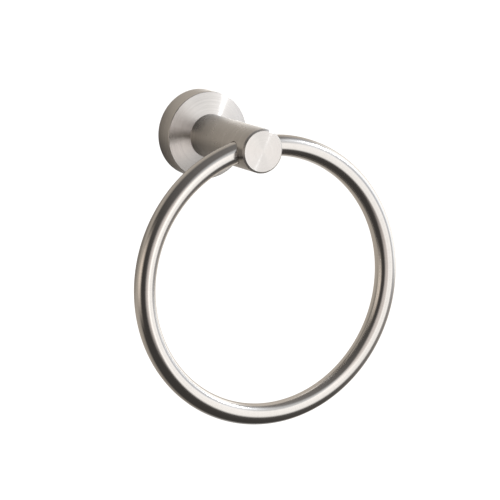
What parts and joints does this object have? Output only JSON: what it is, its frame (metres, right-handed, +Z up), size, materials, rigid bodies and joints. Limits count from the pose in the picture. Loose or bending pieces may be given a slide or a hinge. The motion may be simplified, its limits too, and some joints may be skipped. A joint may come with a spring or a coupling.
{
  "type": "towel ring",
  "caption": "Wall-mounted towel ring: a round rose over a hidden wall bracket, a straight round post, and a bent tube ring that passes through the post near its end.",
  "frame": {"origin": "centre of the mounting face, where the post's axis meets the wall", "axes": "+Y along the post's axis into the wall, -Y out into the room, +X to the right as seen from the room, +Z up"},
  "size_m": [0.165, 0.08, 0.1835],
  "materials": {
    "bracket_steel": "turned, zinc plated",
    "rose_steel": "satin, brushed in circles",
    "post_steel": "satin, turned",
    "ring_steel": "satin, brushed round the bar",
    "screw_steel": "plain stainless"
  },
  "bodies": {
    "root": {"wall_bracket": "bracket_steel", "rose": "rose_steel", "rose_grub_screw": "screw_steel", "post": "post_steel", "post_screw": "screw_steel", "ring": "ring_steel", "ring_grub_screw": "screw_steel"}
  },
  "joints": []
}
